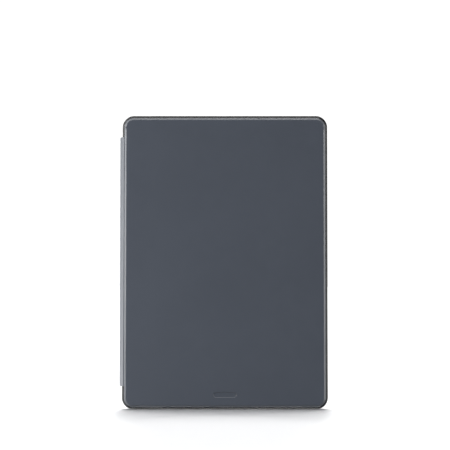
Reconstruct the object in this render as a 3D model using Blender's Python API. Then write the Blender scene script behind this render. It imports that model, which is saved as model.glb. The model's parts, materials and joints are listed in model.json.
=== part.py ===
"""Folio case for a tablet with a 10.2-inch screen.

A rigid back plate sits in a soft bumper frame, and together they are the tray that holds the tablet. A strip of
covering material is bonded to the back, wraps round the left side as a spine and carries the stiffened front cover.
The spine turns about the back fold and the cover about the front fold, and three button caps travel in the frame.

The case stands upright: +Z is its long side, its front cover faces -Y, and the spine is at -X.
The origin is below the middle of the whole case, on the plane it stands on.
Lengths are in millimetres and turned into metres as points are made. Depth runs towards +Y from the
closed cover's front face.
"""

import math

import bmesh
import bpy
from mathutils import Vector

for old in list(bpy.data.objects):
    bpy.data.objects.remove(old, do_unlink=True)

MM = 0.001

# ---- driving dimensions, mm ----------------------------------------------------------------
TABLET_W, TABLET_H = 174.1, 250.6  # the tablet that the tray is made for
SHELL_W, SHELL_H = 178.6, 255.1  # outer silhouette of the bumper frame
SHELL_R = 10.0  # its corner radius
TOTAL_T = 14.0  # front of the closed cover to the back of the shell

CAVITY_GAP = 0.3  # round the tablet
CAVITY_R = 8.2
CAVITY_DEPTH = 7.9
LIP_OVER = 1.3  # how far the lip reaches over the tablet's face
LIP_T = 1.0
COVER_T = 2.3  # thickness of the front cover
COVER_GAP = 0.6  # between the closed cover and the lip
COVER_INSET = 2.15  # cover's side edges inside the shell's silhouette
COVER_INSET_Z = 2.4  # the same at its top and bottom
PLATE_T = 1.7
SKIN_T = 0.5
LAYER_GAP = 0.1  # between neighbouring layers

SPINE_Z = (20.2, 236.2)  # the spine is shorter than the case
SPINE_PROUD = 2.2  # how far it stands outside the shell
BUTTON_PROUD = 0.15
FOOT = 3.6  # how far the frame's foot reaches in behind the edge of the back plate
FOOT_T = 1.05

# ---- places that follow from them ----------------------------------------------------------
SHELL_X = (SPINE_PROUD - BUTTON_PROUD) / 2  # middle of the shell, centring the whole case
LEFT = SHELL_X - SHELL_W / 2
RIGHT = SHELL_X + SHELL_W / 2
LIP_D = COVER_T + COVER_GAP
CAVITY_D = LIP_D + LIP_T
FLOOR_D = CAVITY_D + CAVITY_DEPTH
PLATE_D = TOTAL_T - PLATE_T
FOOT_D = TOTAL_T - FOOT_T
LIP_INSET = CAVITY_GAP + LIP_OVER  # the lip's inner edge inside the cavity's wall
BACK_FOLD = (LEFT - 0.3, TOTAL_T + 0.1)  # x, depth
FRONT_FOLD = (LEFT + COVER_INSET - 0.3, 1.25)  # x, depth

# Silhouettes: width, height, corner radius.
SHELL = (SHELL_W, SHELL_H, SHELL_R)
CAVITY = (TABLET_W + 2 * CAVITY_GAP, TABLET_H + 2 * CAVITY_GAP, CAVITY_R)
COVER = (SHELL_W - 2 * COVER_INSET, SHELL_H - 2 * COVER_INSET_Z, SHELL_R - COVER_INSET)

CORNER_STEPS = 8
EDGE_STEPS = 6  # round the frame's outer edges
CAP_STEPS = 6  # per quarter of a button cap or its slot
OPENING_STEPS = 8  # per quarter of an opening in the frame
TURNED_STEPS = 32
SHARP_ANGLE = math.radians(35)


# ---- points and outlines -------------------------------------------------------------------
def to_world(x, depth, z):
    """A point in millimetres, as x, depth and height, to metres."""
    return Vector((x * MM, (depth - TOTAL_T / 2) * MM, z * MM))


def rounded(width, height, radius, middle, steps=CORNER_STEPS):
    """A rectangle with round corners, as a run of points from its upper right corner."""
    points = []
    for quarter, (side_a, side_b) in enumerate(((1, 1), (-1, 1), (-1, -1), (1, -1))):
        centre_a = middle[0] + side_a * (width / 2 - radius)
        centre_b = middle[1] + side_b * (height / 2 - radius)
        for i in range(steps + 1):
            turn = math.pi / 2 * (quarter + i / steps)
            points.append((centre_a + radius * math.cos(turn), centre_b + radius * math.sin(turn)))
    return points


def inset(silhouette, by, depth):
    """A silhouette moved in by a distance, at a depth: width, height, radius, depth."""
    width, height, radius = silhouette
    return (width - 2 * by, height - 2 * by, radius - by, depth)


def narrowed(span, by):
    """A (low, high) span with each end moved in. A negative distance widens it."""
    return (span[0] + by, span[1] - by)


def offset_run(points, by):
    """An open run of (x, depth) points moved sideways, mitred at its bends.

    A run that goes back in depth moves towards +X.
    """
    moved = []
    for i, (x, depth) in enumerate(points):
        normals = []
        for start, end in zip(points[max(i - 1, 0):i + 1], points[max(i, 1):i + 2]):
            step_x, step_d = end[0] - start[0], end[1] - start[1]
            length = math.hypot(step_x, step_d)
            normals.append((step_d / length, -step_x / length))
        normal_x = sum(normal[0] for normal in normals) / len(normals)
        normal_d = sum(normal[1] for normal in normals) / len(normals)
        reach = by / (normal_x**2 + normal_d**2)
        moved.append((x + normal_x * reach, depth + normal_d * reach))
    return moved


# ---- objects -------------------------------------------------------------------------------
def place_of(pivot):
    """Where an empty stands in the world; the origin when there is none."""
    place = Vector((0, 0, 0))
    while pivot is not None:
        place += pivot.location
        pivot = pivot.parent
    return place


def make_pivot(name, place, parent=None):
    pivot = bpy.data.objects.new(name, None)
    pivot.empty_display_size = 0.01
    pivot.hide_render = True
    bpy.context.scene.collection.objects.link(pivot)
    pivot.parent = parent
    pivot.location = place - place_of(parent)
    return pivot


def finish(name, shape, surface, pivot):
    """Turns a bmesh into an object with its origin on its pivot.

    A shape without a surface material becomes a hidden cutter.
    """
    bmesh.ops.recalc_face_normals(shape, faces=shape.faces[:])
    bmesh.ops.translate(shape, verts=shape.verts[:], vec=-place_of(pivot))
    mesh = bpy.data.meshes.new(name)
    shape.to_mesh(mesh)
    shape.free()
    piece = bpy.data.objects.new(name, mesh)
    bpy.context.scene.collection.objects.link(piece)
    piece.parent = pivot
    if surface is None:
        piece.hide_render = True
        piece.display_type = "WIRE"
    else:
        mesh.materials.append(surface)
        mesh.shade_smooth()
        mesh.set_sharp_from_angle(angle=SHARP_ANGLE)
    return piece


def loft(name, rings, surface, pivot=None, closed=False):
    """A solid through rings of points, with flat ends or closed on itself."""
    shape = bmesh.new()
    made = [[shape.verts.new(point) for point in ring] for ring in rings]
    following = made[1:] + made[:1] if closed else made[1:]
    for near, far in zip(made, following):
        for i in range(len(near)):
            j = (i + 1) % len(near)
            shape.faces.new((near[i], near[j], far[j], far[i]))
    if not closed:
        shape.faces.new(made[0])
        shape.faces.new(made[-1])
    return finish(name, shape, surface, pivot)


def slab(name, rings, surface, pivot=None, middle=(SHELL_X, SHELL_H / 2), closed=False):
    """Stacked rounded rectangles facing the front, each (width, height, radius, depth)."""
    outlines = [
        [to_world(x, depth, z) for x, z in rounded(width, height, radius, middle)]
        for width, height, radius, depth in rings
    ]
    return loft(name, outlines, surface, pivot, closed)


def extrude(name, outline, span, surface, pivot=None):
    """A closed outline of (x, depth) points, extruded over a span of z."""
    rings = [[to_world(x, depth, z) for x, depth in outline] for z in span]
    return loft(name, rings, surface, pivot)


def box(name, x, depth, z, surface=None, pivot=None):
    """A block over three (low, high) spans."""
    shape = bmesh.new()
    bmesh.ops.create_cube(shape, size=1.0)
    low, high = (to_world(*corner) for corner in zip(x, depth, z))
    for vert in shape.verts:
        vert.co = [(low[k] + high[k]) / 2 + vert.co[k] * (high[k] - low[k]) for k in range(3)]
    return finish(name, shape, surface, pivot)


def pill(name, axis, along, length, width, stations, steps, surface=None, pivot=None):
    """A prism with round ends on the line of the buttons, running along axis "x" or "z".

    along is its centre on the other of those axes.
    stations holds (position on the axis, inset) from one end to the other.
    """
    flat = 0.001  # short straight run that keeps the points of the round ends apart
    rings = []
    for position, by in stations:
        across = width - 2 * by
        radius = across / 2 - flat
        points = rounded(across, length - 2 * by, radius, (BUTTON_D, along), steps)
        if axis == "x":
            rings.append([to_world(position, depth, z) for depth, z in points])
        else:
            rings.append([to_world(x, depth, position) for depth, x in points])
    return loft(name, rings, surface, pivot)


def turned(name, middle, profile, surface=None, closed=False):
    """A round solid about a line along the depth. profile holds (radius, depth)."""
    turns = [2 * math.pi * i / TURNED_STEPS for i in range(TURNED_STEPS)]
    rings = [
        [
            to_world(middle[0] + radius * math.cos(turn), depth, middle[1] + radius * math.sin(turn))
            for turn in turns
        ]
        for radius, depth in profile
    ]
    return loft(name, rings, surface, closed=closed)


def cut(piece, cutter):
    modifier = piece.modifiers.new("cut_" + cutter.name, "BOOLEAN")
    modifier.operation = "DIFFERENCE"
    modifier.solver = "EXACT"
    modifier.object = cutter


# ---- materials -----------------------------------------------------------------------------
def linear(rgb):
    """An sRGB colour, 0 to 255, as the linear values that a shader takes."""
    values = []
    for channel in rgb:
        channel /= 255
        dark = channel <= 0.04045
        values.append(channel / 12.92 if dark else ((channel + 0.055) / 1.055) ** 2.4)
    return (*values, 1.0)


def make_material(name, rgb, roughness, metallic=0.0):
    made = bpy.data.materials.new(name)
    made.use_nodes = True
    shader = made.node_tree.nodes["Principled BSDF"]
    shader.inputs["Base Color"].default_value = linear(rgb)
    shader.inputs["Roughness"].default_value = roughness
    shader.inputs["Metallic"].default_value = metallic
    made.diffuse_color = linear(rgb)
    return made


SKIN = make_material("covering_skin", rgb=(82, 87, 96), roughness=0.62)
LINING = make_material("felt_lining", rgb=(70, 73, 79), roughness=0.95)
BOARD = make_material("grey_board", rgb=(150, 146, 138), roughness=0.85)
SOFT = make_material("soft_bumper", rgb=(70, 71, 73), roughness=0.55)
HARD = make_material("hard_back", rgb=(62, 64, 68), roughness=0.5)
TAPE = make_material("clear_tape", rgb=(205, 200, 188), roughness=0.4)
MAGNET = make_material("nickel_magnet", rgb=(176, 178, 180), roughness=0.28, metallic=1.0)

# ---- bumper frame --------------------------------------------------------------------------
RIM_R = 3.2  # rounding of the frame's front outer edge
BACK_R = 2.7  # rounding of its back outer edge
CAVITY_CHAMFER = 0.6  # where the cavity's wall meets the lip
LIP_CHAMFER = 0.3


def build_frame():
    """A ring whose section runs from the lip's face, round the outside, to the cavity."""
    turns = [math.pi / 2 * i / EDGE_STEPS for i in range(EDGE_STEPS + 1)]
    front_edge = [
        inset(SHELL, RIM_R * (1 - math.sin(turn)), LIP_D + RIM_R * (1 - math.cos(turn)))
        for turn in turns
    ]
    back_edge = [
        inset(SHELL, BACK_R * (1 - math.cos(turn)), TOTAL_T - BACK_R * (1 - math.sin(turn)))
        for turn in turns
    ]
    inside = [
        inset(SHELL, FOOT, TOTAL_T),
        inset(SHELL, FOOT, FOOT_D),
        inset(CAVITY, 0.0, FOOT_D),
        inset(CAVITY, 0.0, CAVITY_D + CAVITY_CHAMFER),
        inset(CAVITY, CAVITY_CHAMFER, CAVITY_D),
        inset(CAVITY, LIP_INSET, CAVITY_D),
        inset(CAVITY, LIP_INSET, LIP_D + LIP_CHAMFER),
    ]
    return slab("bumper_frame", front_edge + back_edge + inside, SOFT, closed=True)


# ---- back plate, its lining and the camera ring --------------------------------------------
PLATE_GAP = 0.3  # between the plate and the frame
PLATE_CHAMFER = 0.2
TRAY_LINING_T = 0.4
CAMERA_IN = 17.3  # camera centre from the right side and from the top of the shell
CAMERA_R = 6.4
CAMERA_AT = (RIGHT - CAMERA_IN, SHELL_H - CAMERA_IN)
PLATE_HOLE_R = CAMERA_R + 1.6
LINING_HOLE_R = CAMERA_R + 1.0


def build_plate():
    """A plate with a wide front part in the cavity and a narrower back part inside the foot."""
    step_d = FOOT_D - PLATE_GAP
    back_inset = FOOT + PLATE_GAP
    rings = [
        inset(CAVITY, PLATE_GAP, PLATE_D),
        inset(CAVITY, PLATE_GAP, step_d),
        inset(SHELL, back_inset, step_d),
        inset(SHELL, back_inset, TOTAL_T - PLATE_CHAMFER),
        inset(SHELL, back_inset + PLATE_CHAMFER, TOTAL_T),
    ]
    plate = slab("back_plate", rings, HARD)
    profile = [(PLATE_HOLE_R, PLATE_D - 0.05), (PLATE_HOLE_R, TOTAL_T + 1.0)]
    cut(plate, turned("cutter_camera", CAMERA_AT, profile))
    return plate


def build_tray_lining():
    depths = (FLOOR_D, FLOOR_D + TRAY_LINING_T)
    lining = slab("tray_lining", [inset(CAVITY, LIP_INSET, depth) for depth in depths], LINING)
    profile = [(LINING_HOLE_R, FLOOR_D - 1.0), (LINING_HOLE_R, FLOOR_D + 1.0)]
    cut(lining, turned("cutter_lining", CAMERA_AT, profile))


def build_camera_ring():
    outer_r = CAMERA_R + 1.3
    front = PLATE_D + LAYER_GAP
    shoulder = TOTAL_T - 0.15
    profile = [
        (CAMERA_R, front),
        (outer_r, front),
        (outer_r, shoulder),
        (CAMERA_R + 0.9, TOTAL_T - 0.02),
        (CAMERA_R + 0.5, shoulder),
        (CAMERA_R, TOTAL_T - 0.7),
    ]
    turned("camera_ring", CAMERA_AT, profile, SOFT, closed=True)


# ---- strip bonded to the back, in its recess -----------------------------------------------
ANCHOR_RIGHT = LEFT + FOOT + 21.0
RECESS_D = TOTAL_T - 0.75
RECESS_GAP = 0.35  # round the strip
TAPE_INSET = 1.0  # tape's edges inside the strip's


def cut_recess(plate, frame):
    recess = box(
        "cutter_recess",
        x=(LEFT - 2.0, ANCHOR_RIGHT + RECESS_GAP),
        depth=(RECESS_D, TOTAL_T + 1.0),
        z=narrowed(SPINE_Z, -RECESS_GAP),
    )
    cut(plate, recess)
    cut(frame, recess)


def build_anchor():
    box(
        "anchor_tape",
        x=(LEFT + FOOT + 1.2, ANCHOR_RIGHT - TAPE_INSET),
        depth=(RECESS_D + 0.05, RECESS_D + 0.15),
        z=narrowed(SPINE_Z, TAPE_INSET),
        surface=TAPE,
    )
    anchor_left = BACK_FOLD[0] + 0.3
    outline = [
        (anchor_left, TOTAL_T - SKIN_T),
        (ANCHOR_RIGHT, TOTAL_T - SKIN_T),
        (ANCHOR_RIGHT, TOTAL_T - 0.12),
        (ANCHOR_RIGHT - 0.3, TOTAL_T),
        (anchor_left, TOTAL_T),
    ]
    extrude("anchor_skin", outline, SPINE_Z, SKIN)


# ---- spine: a bent covering with a stiff strip in its flat part ----------------------------
# Outer face of the covering from front to back: distance outside the shell's left side, depth.
SPINE_BEND = [
    (0.9, 3.9), (1.45, 4.6), (1.85, 5.4), (2.1, 6.2), (SPINE_PROUD, 7.1),
    (SPINE_PROUD, 10.3), (2.05, 11.4), (1.7, 12.4), (1.2, 13.15), (0.7, 13.65),
]
SPINE_OUTER = [(FRONT_FOLD[0] - 0.3, FRONT_FOLD[1] + 0.35)]
SPINE_OUTER += [(LEFT - out, depth) for out, depth in SPINE_BEND]
SPINE_BOARD_X = LEFT - SPINE_PROUD + SKIN_T + LAYER_GAP
SPINE_BOARD_T = 0.55
SPINE_LINING_X = SPINE_BOARD_X + SPINE_BOARD_T + LAYER_GAP
SPINE_LINING_T = 0.3

# Flat and back part of the lining: distance inside SPINE_LINING_X, depth.
LINING_OUTER = [(0.0, 5.7), (0.0, 11.4), (0.2, 12.3)]
LINING_INNER = [(SPINE_LINING_T, 5.8), (SPINE_LINING_T, 11.35), (0.5, 12.2)]


def lining_face(by, points):
    """One face of the spine's lining: along the covering at the front, then over the board."""
    front = offset_run(SPINE_OUTER, by)[:2]
    return front + [(SPINE_LINING_X + inward, depth) for inward, depth in points]


def build_spine(pivot):
    skin_outline = SPINE_OUTER + offset_run(SPINE_OUTER, SKIN_T)[::-1]
    extrude("spine_skin", skin_outline, SPINE_Z, SKIN, pivot)
    box(
        "spine_board",
        x=(SPINE_BOARD_X, SPINE_BOARD_X + SPINE_BOARD_T),
        depth=(7.0, 10.6),
        z=narrowed(SPINE_Z, 1.0),
        surface=BOARD,
        pivot=pivot,
    )
    near = SKIN_T + LAYER_GAP
    outer = lining_face(near, LINING_OUTER)
    inner = lining_face(near + SPINE_LINING_T, LINING_INNER)
    extrude("spine_lining", outer + inner[::-1], narrowed(SPINE_Z, 0.4), LINING, pivot)


# ---- front cover: covering turned round a bevelled board -----------------------------------
BEVEL_W, BEVEL_D = 1.6, 1.2  # bevel round the front of the cover
COVER_CHAMFER = 0.25  # at its back edge
HEM_W = 0.6  # width of the covering round the board's edge
BED_INSET, BED_D = 2.0, 1.4  # inner bevel of the covering, that the board lies in
BOARD_BACK_D = 1.7
BOARD_INSET = HEM_W + LAYER_GAP
MARK_W, MARK_H, MARK_D, MARK_Z = 20.0, 4.6, 0.22, 13.0


def build_cover_skin(pivot):
    rings = [
        inset(COVER, BEVEL_W, 0.0),
        inset(COVER, 0.0, BEVEL_D),
        inset(COVER, 0.0, COVER_T - COVER_CHAMFER),
        inset(COVER, COVER_CHAMFER, COVER_T),
        inset(COVER, HEM_W, COVER_T),
        inset(COVER, HEM_W, BED_D),
        inset(COVER, BED_INSET, SKIN_T),
    ]
    skin = slab("cover_skin", rings, SKIN, pivot)
    # A plain pressed oval near the bottom edge.
    oval = (MARK_W, MARK_H, MARK_H / 2 - 0.01)
    oval_rings = [(*oval, depth) for depth in (-1.0, MARK_D)]
    cut(skin, slab("cutter_mark", oval_rings, None, pivot, middle=(SHELL_X, MARK_Z)))


def build_cover_board(pivot):
    rings = [
        inset(COVER, BED_INSET + LAYER_GAP, SKIN_T + LAYER_GAP),
        inset(COVER, BOARD_INSET, BED_D + 0.08),
        inset(COVER, BOARD_INSET, BOARD_BACK_D),
    ]
    return slab("cover_board", rings, BOARD, pivot)


def build_cover_lining(pivot):
    rings = [
        inset(COVER, BOARD_INSET, BOARD_BACK_D + LAYER_GAP),
        inset(COVER, BOARD_INSET, COVER_T - 0.12),
        inset(COVER, BOARD_INSET + 0.15, COVER_T),
    ]
    slab("cover_lining", rings, LINING, pivot)


# Magnets in blind pockets of the board: four that hold the cover shut along its free edge,
# and one that wakes the tablet. Columns: name, x, z, width, height.
MAGNETS = [(f"closing_magnet_{i + 1}", RIGHT - 8.6, 46.0 + 56.0 * i, 4.0, 18.0) for i in range(4)]
MAGNETS.append(("wake_magnet", RIGHT - 19.0, 186.0, 5.0, 12.0))
MAGNET_DEPTH = (0.88, 1.64)
POCKET_DEPTH = (0.8, 2.5)
POCKET_GAP = 0.15  # round each magnet


def build_magnets(board, pivot):
    for name, x, z, width, height in MAGNETS:
        span_x = (x - width / 2, x + width / 2)
        span_z = (z - height / 2, z + height / 2)
        pocket_x, pocket_z = narrowed(span_x, -POCKET_GAP), narrowed(span_z, -POCKET_GAP)
        cut(board, box("cutter_" + name, pocket_x, POCKET_DEPTH, pocket_z, pivot=pivot))
        box(name, span_x, MAGNET_DEPTH, span_z, MAGNET, pivot)


# ---- button caps and their slots -----------------------------------------------------------
BUTTON_D = 8.3  # depth of the caps' and the openings' centre line
BUTTON_GAP = 0.3  # round each cap
CAP_W = 3.0

# Name, axis that the cap travels on, centre on the other axis, length.
BUTTONS = [
    ("volume_up_button", "x", SHELL_H - 29.8, 10.0),
    ("volume_down_button", "x", SHELL_H - 42.8, 10.0),
    ("power_button", "z", SHELL_X + 58.0, 11.0),
]


def build_button(frame, name, axis, along, length):
    if axis == "x":
        face, wall = RIGHT, (SHELL_W - CAVITY[0]) / 2
        place = to_world(face, BUTTON_D, along)
    else:
        face, wall = SHELL_H, (SHELL_H - CAVITY[1]) / 2
        place = to_world(along, BUTTON_D, face)
    pivot = make_pivot(name + "_axis", place)
    inner, outer = face - wall, face + BUTTON_PROUD
    # Position on the axis, inset.
    stations = [
        (inner + 0.25, 0.15), (inner + 0.4, 0.0),
        (outer - 0.4, 0.0), (outer - 0.1, 0.2), (outer, 0.6),
    ]
    pill(name, axis, along, length, CAP_W, stations, CAP_STEPS, SOFT, pivot)
    slot = pill(
        "cutter_" + name,
        axis,
        along,
        length + 2 * BUTTON_GAP,
        CAP_W + 2 * BUTTON_GAP,
        [(inner - 1.5, 0.0), (face + 2.0, 0.0)],
        CAP_STEPS,
    )
    cut(frame, slot)


# ---- openings in the frame: charging port, two speaker slots, headphone jack ---------------
BOTTOM_SPAN = (-2.0, 5.0)
TOP_SPAN = (SHELL_H - 5.0, SHELL_H + 2.0)

# Name, x of the centre, span of z, length, width.
OPENINGS = [
    ("cutter_port", SHELL_X, BOTTOM_SPAN, 13.5, 6.4),
    ("cutter_speaker_left", SHELL_X - 42.0, BOTTOM_SPAN, 30.0, 3.2),
    ("cutter_speaker_right", SHELL_X + 42.0, BOTTOM_SPAN, 30.0, 3.2),
    ("cutter_jack", SHELL_X - 66.0, TOP_SPAN, 6.8, 6.6),
]


def cut_openings(frame):
    for name, x, span, length, width in OPENINGS:
        stations = [(z, 0.0) for z in span]
        cut(frame, pill(name, "z", x, length, width, stations, OPENING_STEPS))


# ---- the whole case ------------------------------------------------------------------------
def build_case():
    spine_middle = sum(SPINE_Z) / 2
    back_fold = make_pivot("back_fold_axis", to_world(*BACK_FOLD, spine_middle))
    front_fold = make_pivot("front_fold_axis", to_world(*FRONT_FOLD, spine_middle), back_fold)

    frame = build_frame()
    plate = build_plate()
    build_tray_lining()
    build_camera_ring()
    cut_recess(plate, frame)
    build_anchor()
    build_spine(back_fold)

    build_cover_skin(front_fold)
    board = build_cover_board(front_fold)
    build_cover_lining(front_fold)
    build_magnets(board, front_fold)

    for button in BUTTONS:
        build_button(frame, *button)
    cut_openings(frame)


build_case()
bpy.context.view_layer.update()
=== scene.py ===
"""Looks for a tablet folio case: a soft bumper with a hard back, a spine and a closed front cover.

The case stands on its foot at z = 0. Its cover faces -y, and its spine is on the left, at -x.
"""

import json
import math

import bmesh
import bpy
import numpy as np
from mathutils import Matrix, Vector

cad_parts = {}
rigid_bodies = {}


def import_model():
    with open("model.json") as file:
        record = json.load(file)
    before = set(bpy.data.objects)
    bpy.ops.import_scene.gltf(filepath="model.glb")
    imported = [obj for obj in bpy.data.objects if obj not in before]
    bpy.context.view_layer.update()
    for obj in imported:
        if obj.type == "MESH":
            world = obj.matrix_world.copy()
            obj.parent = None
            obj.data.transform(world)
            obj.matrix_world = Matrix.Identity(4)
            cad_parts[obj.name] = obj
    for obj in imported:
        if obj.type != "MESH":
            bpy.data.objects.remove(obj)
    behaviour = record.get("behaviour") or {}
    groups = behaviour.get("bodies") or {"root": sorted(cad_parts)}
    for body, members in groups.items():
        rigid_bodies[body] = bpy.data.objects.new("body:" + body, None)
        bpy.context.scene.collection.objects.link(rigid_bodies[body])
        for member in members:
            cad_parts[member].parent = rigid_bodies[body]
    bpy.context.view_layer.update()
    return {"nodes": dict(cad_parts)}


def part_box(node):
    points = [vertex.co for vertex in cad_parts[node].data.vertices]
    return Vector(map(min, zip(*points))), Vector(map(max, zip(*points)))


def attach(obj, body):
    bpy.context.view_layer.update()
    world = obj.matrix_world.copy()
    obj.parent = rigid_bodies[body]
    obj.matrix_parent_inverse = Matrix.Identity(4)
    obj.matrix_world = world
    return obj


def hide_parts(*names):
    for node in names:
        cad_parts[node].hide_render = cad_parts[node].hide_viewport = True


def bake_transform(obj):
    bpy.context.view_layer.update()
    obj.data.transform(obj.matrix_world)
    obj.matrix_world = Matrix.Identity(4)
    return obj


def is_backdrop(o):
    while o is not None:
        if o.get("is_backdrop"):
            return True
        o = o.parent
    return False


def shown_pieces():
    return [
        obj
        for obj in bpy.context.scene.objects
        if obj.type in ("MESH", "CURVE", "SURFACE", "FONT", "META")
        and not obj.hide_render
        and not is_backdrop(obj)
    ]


for ob in list(bpy.data.objects):
    bpy.data.objects.remove(ob, do_unlink=True)

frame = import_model()
scene = bpy.context.scene
MM = 0.001


# ----------------------------------------------------------------------------------------------
# Places read from the frame, in mm. x and z are the frame's, and depth runs back (+y) from the
# cover's face. Names end in _W width, _H height, _R radius, _T thickness or _D depth. An outline
# is a rounded rectangle about the case's middle: (width, height, corner radius).
# ----------------------------------------------------------------------------------------------
def mm_box(node):
    low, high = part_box(node)
    return np.array(low) * 1000.0, np.array(high) * 1000.0


frame_lo, frame_hi = mm_box("bumper_frame")
cover_lo, cover_hi = mm_box("cover_skin")
spine_lo, spine_hi = mm_box("spine_skin")
FACE_Y = cover_lo[1]
LEFT, RIGHT, TOP = frame_lo[0], frame_hi[0], frame_hi[2]
MID_X, MID_Z = (LEFT + RIGHT) / 2, TOP / 2
LIP_D, BACK_D = frame_lo[1] - FACE_Y, frame_hi[1] - FACE_Y
PLATE_D = mm_box("back_plate")[0][1] - FACE_Y
SHELL_R = 10.0
SHELL = (RIGHT - LEFT, TOP, SHELL_R)
COVER_LEFT = cover_lo[0]
COVER_W, COVER_H = cover_hi[0] - cover_lo[0], cover_hi[2] - cover_lo[2]
COVER_R = SHELL_R - (COVER_LEFT - LEFT)
COVER_T = cover_hi[1] - FACE_Y
SPINE_X, SPINE_LOW, SPINE_TOP = spine_lo[0], spine_lo[2], spine_hi[2]
ANCHOR_RIGHT = mm_box("anchor_skin")[1][0]
MAGNETS = (*(f"closing_magnet_{i}" for i in (1, 2, 3, 4)), "wake_magnet")


def depth_box(node):
    """A node's box with depths in place of y."""
    low, high = mm_box(node)
    low[1] -= FACE_Y
    high[1] -= FACE_Y
    return low, high


def place(x, depth, z):
    """A point in the scene's metres."""
    return (x * MM, (FACE_Y + depth) * MM, z * MM)


# ----------------------------------------------------------------------------------------------
# Mesh tools
# ----------------------------------------------------------------------------------------------
def add_object(name, data):
    ob = bpy.data.objects.new(name, data)
    scene.collection.objects.link(ob)
    return ob


def smooth(data, sharp):
    """Smooth shading, with sharp edges above an angle in degrees if one is given."""
    data.shade_smooth()
    if sharp:
        data.set_sharp_from_angle(angle=math.radians(sharp))


def fit(piece, part, node):
    """Moves a piece with a part, and puts it in place of a CAD node."""
    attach(piece, part)
    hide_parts(node)


class Mesh:
    """Vertices as (x, depth, z), each with a wear value, and faces with a material index."""

    def __init__(self):
        self.points, self.wear, self.faces, self.slots = [], [], [], []

    def add(self, points, wear=0.0):
        start = len(self.points)
        self.points += [tuple(p) for p in points]
        self.wear += [float(wear)] * len(points)
        return list(range(start, len(self.points)))

    def face(self, ids, slot=0):
        self.faces.append(tuple(ids))
        self.slots.append(slot)

    def bridge(self, ring, following):
        for i in range(len(ring)):
            j = (i + 1) % len(ring)
            self.face((ring[i], ring[j], following[j], following[i]))

    def loft(self, rings, wrap=False):
        """Joins (points, wear) rings in turn. The ends are capped, or joined if wrap is set."""
        rings = [self.add(points, wear) for points, wear in rings]
        for ring, following in zip(rings, rings[1:]):
            self.bridge(ring, following)
        if wrap:
            self.bridge(rings[-1], rings[0])
        else:
            self.face(rings[0])
            self.face(rings[-1])
        return self

    def build(self, name, materials, sharp=None):
        data = bpy.data.meshes.new(name)
        data.from_pydata([place(*p) for p in self.points], [], self.faces)
        for material in materials:
            data.materials.append(material)
        data.polygons.foreach_set("material_index", self.slots)
        wear = data.attributes.new("wear", "FLOAT", "POINT")
        wear.data.foreach_set("value", np.array(self.wear, np.float32))
        bm = bmesh.new()
        bm.from_mesh(data)
        bmesh.ops.recalc_face_normals(bm, faces=bm.faces[:])
        bm.to_mesh(data)
        bm.free()
        # how far each spot turns away from the flat front and back, where a covering is stretched
        # smoother and gets a painted highlight
        normals = np.zeros(len(data.vertices) * 3, np.float32)
        data.vertices.foreach_get("normal", normals)
        turn = np.clip((1 - np.abs(normals.reshape(-1, 3)[:, 1])) / 0.12, 0, 1)
        turn_data = data.attributes.new("turn", "FLOAT", "POINT").data
        turn_data.foreach_set("value", turn.astype(np.float32))
        smooth(data, sharp)
        return add_object(name, data)


def rounded_rect(width, height, radius, x, z, corner_steps=14, x_steps=10, z_steps=14):
    """A rounded rectangle's points about (x, z), with the same count whatever its size."""
    radius = max(radius, 0.02)
    signs = ((1, 1), (-1, 1), (-1, -1), (1, -1))

    def on_corner(corner, quarters):
        sign_x, sign_z = signs[corner % 4]
        angle = math.pi / 2 * quarters
        return (
            x + sign_x * (width / 2 - radius) + radius * math.cos(angle),
            z + sign_z * (height / 2 - radius) + radius * math.sin(angle),
        )

    out = []
    for k in range(4):
        out += [on_corner(k, k + i / corner_steps) for i in range(corner_steps + 1)]
        x0, z0 = on_corner(k, k + 1)
        x1, z1 = on_corner(k + 1, k + 1)
        steps = z_steps if k % 2 else x_steps
        for i in range(1, steps):
            t = i / steps
            out.append((x0 + (x1 - x0) * t, z0 + (z1 - z0) * t))
    return out


def sized(outline, grow, radius_grow, depth, wear=0.0):
    """A ring for ring_loft: an outline grown in width and height, and in radius."""
    width, height, radius = outline
    return (width + grow, height + grow, radius + radius_grow, depth, wear)


def ring_loft(rings, wrap=False):
    """Lofts (width, height, radius, depth, wear) rings about the case's middle."""
    loops = []
    for width, height, radius, depth, wear in rings:
        points = rounded_rect(width, height, radius, MID_X, MID_Z)
        loops.append(([(x, depth, z) for x, z in points], wear))
    return Mesh().loft(loops, wrap)


def pill(axis, along, depth, length, width, stations, corner_steps=12):
    """A round-ended prism along x or z. stations holds (position, inset, wear)."""
    loops = []
    for at, inset, wear in stations:
        narrow = width - 2 * inset
        points = rounded_rect(
            narrow, length - 2 * inset, narrow / 2 - 0.001, depth, along, corner_steps, 1, 4
        )
        loops.append(([(at, d, a) if axis == "x" else (a, d, at) for d, a in points], wear))
    return Mesh().loft(loops)


def spaced(low, high, step):
    """Evenly spaced lines between two limits, at most a step apart."""
    start, end = round(low, 6), round(high, 6)
    count = max(1, int(math.ceil((end - start) / step)))
    return np.array([start + (end - start) * i / count for i in range(count)] + [high])


def spans(marks, steps):
    """The lines of each span between marks, each span with its own step."""
    return [spaced(a, b, step) for a, b, step in zip(marks, marks[1:], steps)]


def merged(runs):
    """Spans as one run, with lines less than a rounding apart made one."""
    return np.unique(np.round(np.concatenate(runs), 5))


def joined(runs):
    """Spans as one run, each giving its last line over to the next."""
    return np.concatenate([run[:-1] for run in runs[:-1]] + [runs[-1]])


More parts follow.
